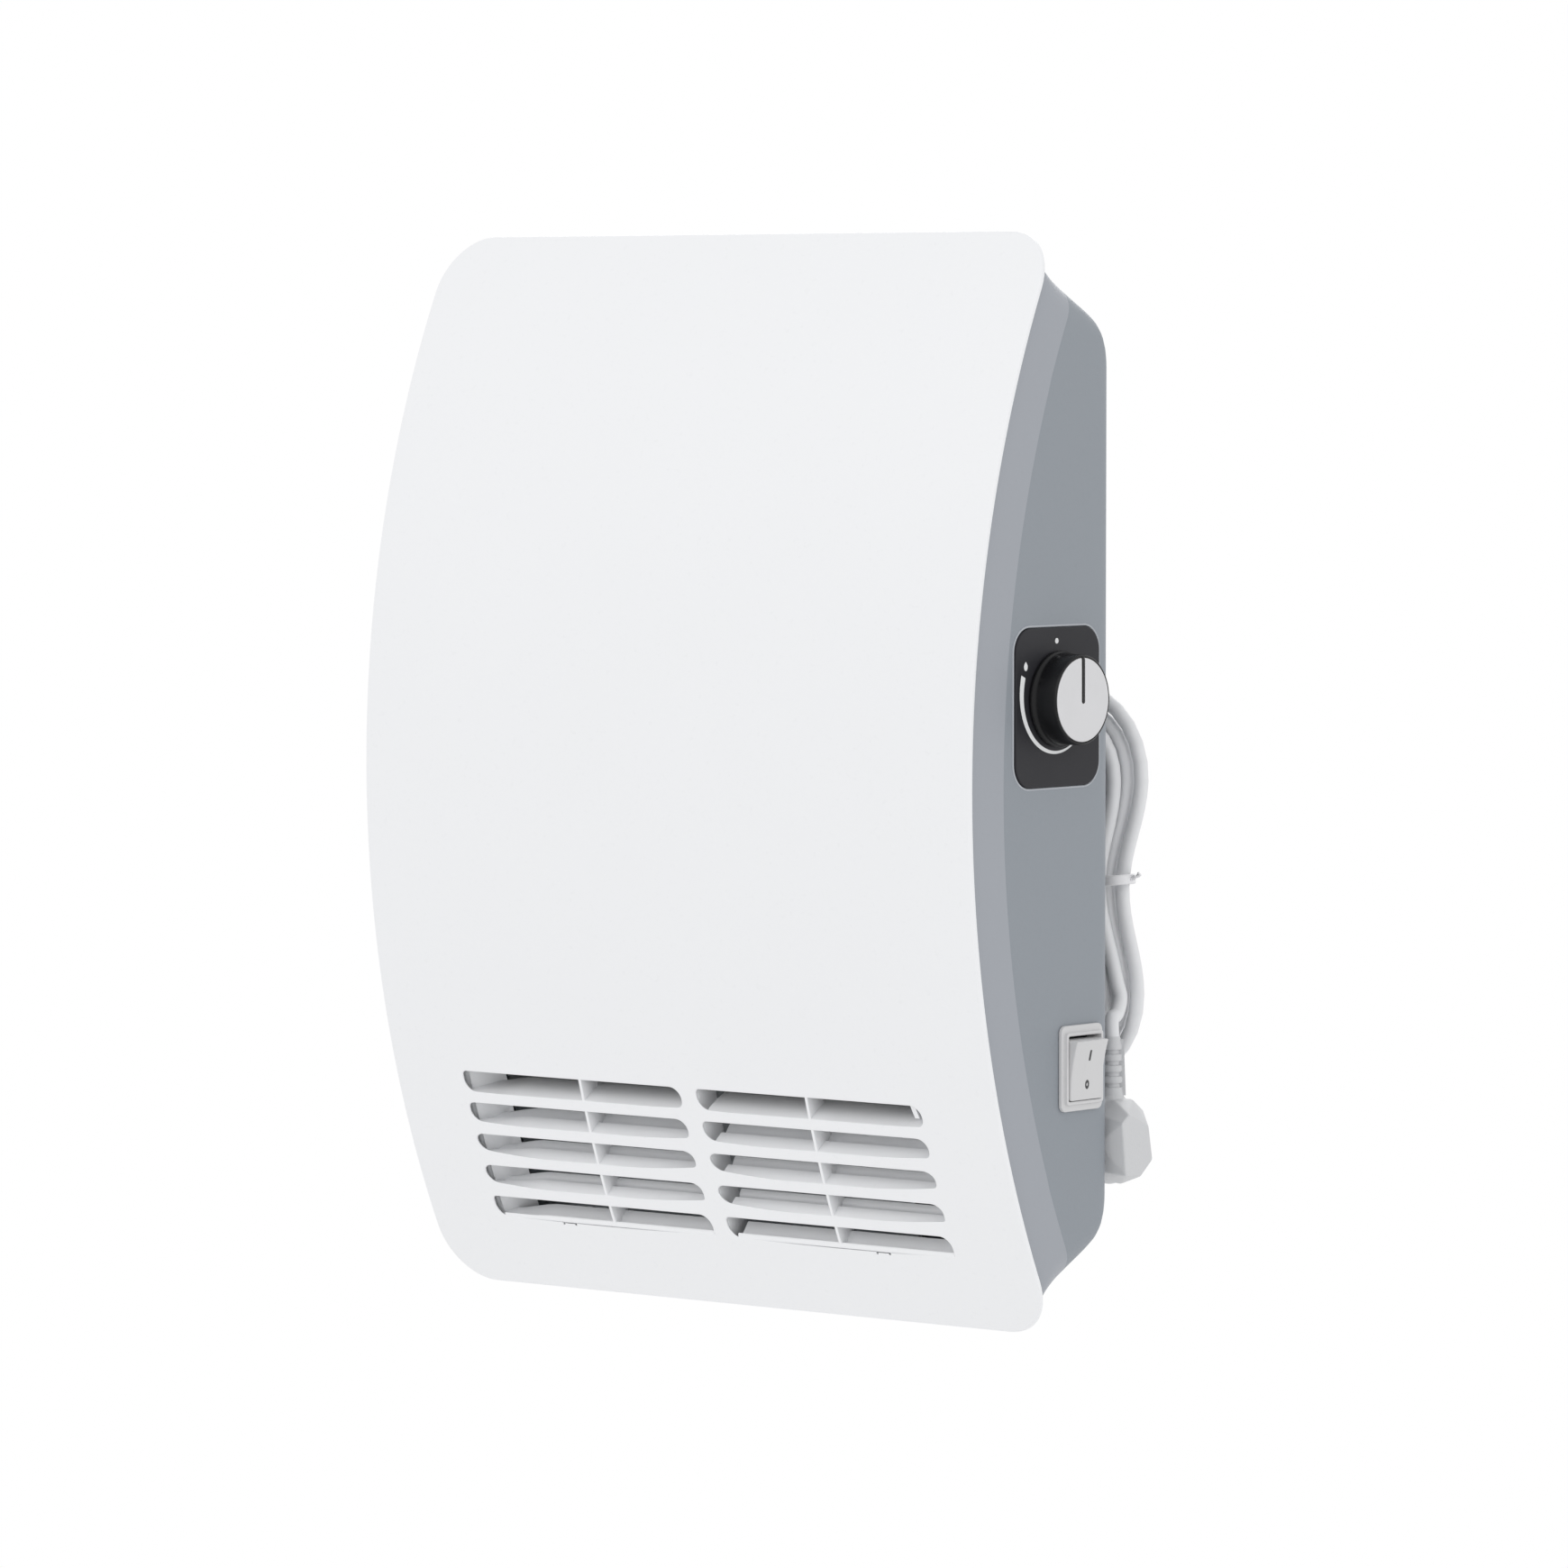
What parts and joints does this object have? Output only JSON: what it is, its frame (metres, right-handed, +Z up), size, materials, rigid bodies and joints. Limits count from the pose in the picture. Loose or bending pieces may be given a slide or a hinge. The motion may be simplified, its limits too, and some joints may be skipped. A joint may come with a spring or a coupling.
{
  "type": "wall fan heater",
  "caption": "Wall-hung bathroom fan heater with a bowed louvred front panel, side thermostat knob, rocker switch, cross-flow fan and a mains lead tied in a hank.",
  "frame": {"origin": "centre of the heater's width and height, on the wall plane that the wall bracket's back lies against", "axes": "+Z up, +Y into the wall, -Y towards the room, +X to the right as seen from the room"},
  "size_m": [0.349, 0.135, 0.46],
  "materials": {
    "panel_white": "satin-gloss white moulding",
    "housing_grey": "fine-grained grey moulding",
    "rear_moulding": "fine-grained dark moulding",
    "plate_black": "satin black",
    "knob_black": "satin black",
    "knob_silver": "fine satin silver",
    "switch_grey": "satin light grey moulding",
    "cord_grey": "matte light grey sheath",
    "tie_grey": "coated wire twist tie",
    "plug_grey": "soft light grey moulding",
    "brass": "nickel-washed brass",
    "bracket_steel": "grey powder coat",
    "fastener": "zinc-plated pan-head screw",
    "sleeve_rubber": "matte black rubber",
    "spindle_steel": "ground steel",
    "stator_steel": "laminated silicon steel",
    "duct_steel": "galvanised sheet",
    "cast_aluminium": "as-cast aluminium",
    "copper": "enamelled copper winding",
    "ceramic": "steatite ceramic",
    "fan_moulding": "dark glass-filled moulding",
    "wire_insulation": "brown silicone insulation"
  },
  "bodies": {
    "heater_body": {"front_panel": "panel_white", "housing_shell": "housing_grey", "rear_panel": "rear_moulding", "rear_panel_screw_1": "fastener", "rear_panel_screw_2": "fastener", "rear_panel_screw_3": "fastener", "rear_panel_screw_4": "fastener", "wall_bracket": "bracket_steel", "bracket_screw_1": "fastener", "bracket_screw_2": "fastener", "bracket_screw_3": "fastener", "bracket_screw_4": "fastener", "cord_outlet_hood": "rear_moulding", "hood_screw_1": "fastener", "hood_screw_2": "fastener", "cord_outlet_sleeve": "sleeve_rubber", "control_plate": "plate_black", "thermostat_body": "ceramic", "switch_bezel": "switch_grey", "switch_body": "rear_moulding", "motor_stator": "stator_steel", "motor_coil": "copper", "motor_bracket_inner": "cast_aluminium", "motor_bracket_outer": "cast_aluminium", "motor_bearing_inner": "brass", "motor_bearing_outer": "brass", "fan_scroll": "duct_steel", "fan_tongue": "duct_steel", "duct_side_left": "duct_steel", "duct_side_right": "duct_steel", "fan_bearing_grommet": "sleeve_rubber", "fan_bearing": "brass", "heater_frame": "ceramic", "heating_bar_front": "cast_aluminium", "heating_bar_rear": "cast_aluminium", "thermal_cutout": "brass", "terminal_block": "ceramic", "wire_live_in": "wire_insulation", "wire_switched": "wire_insulation", "wire_to_cutout": "wire_insulation", "cord_hank": "cord_grey", "cord_lead": "cord_grey", "cord_tail": "cord_grey", "cord_tie": "tie_grey", "plug_body": "plug_grey", "plug_earth_clip_1": "brass", "plug_earth_clip_2": "brass", "plug_pin_lower": "brass", "plug_pin_upper": "brass", "plug_strain_relief": "plug_grey"},
    "fan_rotor": {"fan_wheel": "fan_moulding", "fan_shaft": "spindle_steel", "motor_rotor": "cast_aluminium"},
    "thermostat_dial": {"thermostat_knob": "knob_black", "knob_cap": "knob_silver", "thermostat_spindle": "spindle_steel"},
    "rocker": {"switch_rocker": "switch_grey"}
  },
  "joints": [
    {"name": "fan_spin", "type": "hinge", "parent": "heater_body", "child": "fan_rotor", "pos_m": [-0.01, -0.084, -0.068], "axis": [1, 0, 0], "continuous": true},
    {"name": "knob_turn", "type": "hinge", "parent": "heater_body", "child": "thermostat_dial", "pos_m": [0.1687, -0.0765, 0.036], "axis": [-1, 0, 0], "range_deg": [0, 300]},
    {"name": "rocker_tilt", "type": "hinge", "parent": "heater_body", "child": "rocker", "pos_m": [0.1669, -0.0605, -0.1185], "axis": [0, -1, 0], "range_deg": [0, 16]}
  ]
}
